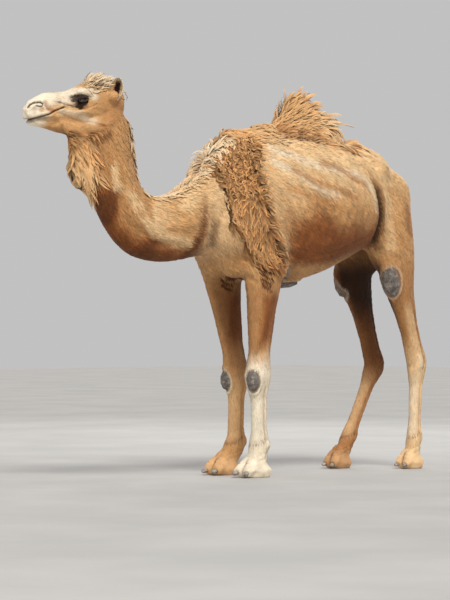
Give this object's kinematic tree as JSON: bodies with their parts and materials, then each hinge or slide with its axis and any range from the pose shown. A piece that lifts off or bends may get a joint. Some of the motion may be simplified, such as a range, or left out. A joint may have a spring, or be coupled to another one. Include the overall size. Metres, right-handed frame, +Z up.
{
  "type": "standing dromedary camel",
  "caption": "Life-size standing dromedary camel, a still model: one hump, low-curving neck, throat beard, padded two-toed feet flat on the floor.",
  "frame": {"origin": "on the floor, at the middle of the bounding box's underside", "axes": "the camel faces -Y, its left side is +X, and +Z is up"},
  "size_m": [0.6546, 2.754, 2.1429],
  "materials": {
    "coat_tan": "short sleek tan hair over skin, paler on the muzzle and shins, darker under the belly and neck",
    "hair_brown": "long shaggy brown and golden hair in locks",
    "callus_grey": "bare grey horny callus, matt and creased",
    "nail_horn": "pale grey-brown horn, lightly ridged",
    "eye_dark": "wet dark brown eye"
  },
  "bodies": {
    "root": {"head": "coat_tan", "lower_jaw": "coat_tan", "neck_upper": "coat_tan", "neck_lower": "coat_tan", "trunk": "coat_tan", "tail": "coat_tan", "forearm_left": "coat_tan", "forearm_right": "coat_tan", "fore_shank_left": "coat_tan", "fore_shank_right": "coat_tan", "fore_foot_left": "coat_tan", "fore_foot_right": "coat_tan", "thigh_left": "coat_tan", "thigh_right": "coat_tan", "gaskin_left": "coat_tan", "gaskin_right": "coat_tan", "hind_shank_left": "coat_tan", "hind_shank_right": "coat_tan", "hind_foot_left": "coat_tan", "hind_foot_right": "coat_tan", "ear_left": "coat_tan", "ear_right": "coat_tan", "throat_beard": "hair_brown", "hump": "hair_brown", "tail_tuft": "hair_brown", "callus_breast": "callus_grey", "callus_elbow_left": "callus_grey", "callus_elbow_right": "callus_grey", "callus_knee_left": "callus_grey", "callus_knee_right": "callus_grey", "callus_stifle_left": "callus_grey", "callus_stifle_right": "callus_grey", "nail_fore_left_inner": "nail_horn", "nail_fore_left_outer": "nail_horn", "nail_fore_right_inner": "nail_horn", "nail_fore_right_outer": "nail_horn", "nail_hind_left_inner": "nail_horn", "nail_hind_left_outer": "nail_horn", "nail_hind_right_inner": "nail_horn", "nail_hind_right_outer": "nail_horn", "eye_left": "eye_dark", "eye_right": "eye_dark"}
  },
  "joints": []
}
